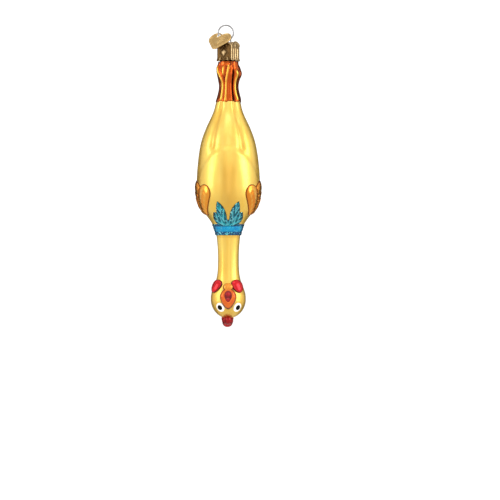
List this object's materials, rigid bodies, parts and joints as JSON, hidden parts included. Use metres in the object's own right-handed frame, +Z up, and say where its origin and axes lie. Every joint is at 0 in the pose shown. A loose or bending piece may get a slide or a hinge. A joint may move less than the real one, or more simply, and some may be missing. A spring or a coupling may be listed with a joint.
{
  "type": "hanging glass ornament",
  "caption": "Blown-glass hanging ornament shaped like a plucked rubber chicken, head down, with a pressed metal cap, a sprung wire ring and a swinging heart tag.",
  "frame": {"origin": "inside top of the wire ring, where a hook or thread carries the ornament", "axes": "+Z up as the ornament hangs, -Y to the front (breast and face), +X to the viewer's right; the glass figure's own axis is 1.2 mm to the right of the origin"},
  "size_m": [0.0332, 0.0312, 0.1494],
  "materials": {
    "body_glass": "blown glass, silvered inside, with a satin pearly gold lacquer outside",
    "leg_lacquer": "transparent copper-orange lacquer over silvered glass, glossy",
    "wing_lacquer": "transparent amber-copper lacquer over silvered glass, glossy",
    "collar_glitter": "blue and teal lacquer strewn with fine glitter",
    "red_lacquer": "glossy red lacquer on glass",
    "beak_lacquer": "satin orange lacquer on glass",
    "mouth_lacquer": "glossy red lacquer on glass",
    "eye_enamel": "glossy white enamel",
    "pupil_enamel": "glossy black enamel",
    "comb_lacquer": "glossy dark red lacquer on glass",
    "cap_metal": "thin pressed brass, antiqued, with a pale champagne plating",
    "hanger_steel": "bright spring wire",
    "tag_metal": "thin pressed brass, polished high spots and darker ground"
  },
  "bodies": {
    "glass": {"glass_shell": "body_glass", "left_leg": "leg_lacquer", "right_leg": "leg_lacquer", "left_wing": "wing_lacquer", "right_wing": "wing_lacquer", "collar_band": "collar_glitter", "left_feathers": "collar_glitter", "right_feathers": "collar_glitter", "left_wattle": "red_lacquer", "right_wattle": "red_lacquer", "upper_beak": "beak_lacquer", "lower_beak": "beak_lacquer", "mouth": "mouth_lacquer", "left_eye": "eye_enamel", "right_eye": "eye_enamel", "left_pupil": "pupil_enamel", "right_pupil": "pupil_enamel", "comb": "comb_lacquer"},
    "cap": {"cap": "cap_metal"},
    "hanger": {"hanger_wire": "hanger_steel"},
    "tag": {"heart_tag": "tag_metal"}
  },
  "joints": [
    {"name": "cap_turn", "type": "hinge", "parent": "glass", "child": "cap", "pos_m": [0.0012, 0, -0.0126], "axis": [0, 0, 1], "continuous": true},
    {"name": "hanger_pull", "type": "slide", "parent": "cap", "child": "hanger", "axis": [0, 0, 1], "range_m": [0, 0.0085]},
    {"name": "tag_swing", "type": "hinge", "parent": "hanger", "child": "tag", "pos_m": [-0.00348, 0, -0.00481], "axis": [-1, 0, 0], "range_deg": [0, 80]}
  ]
}
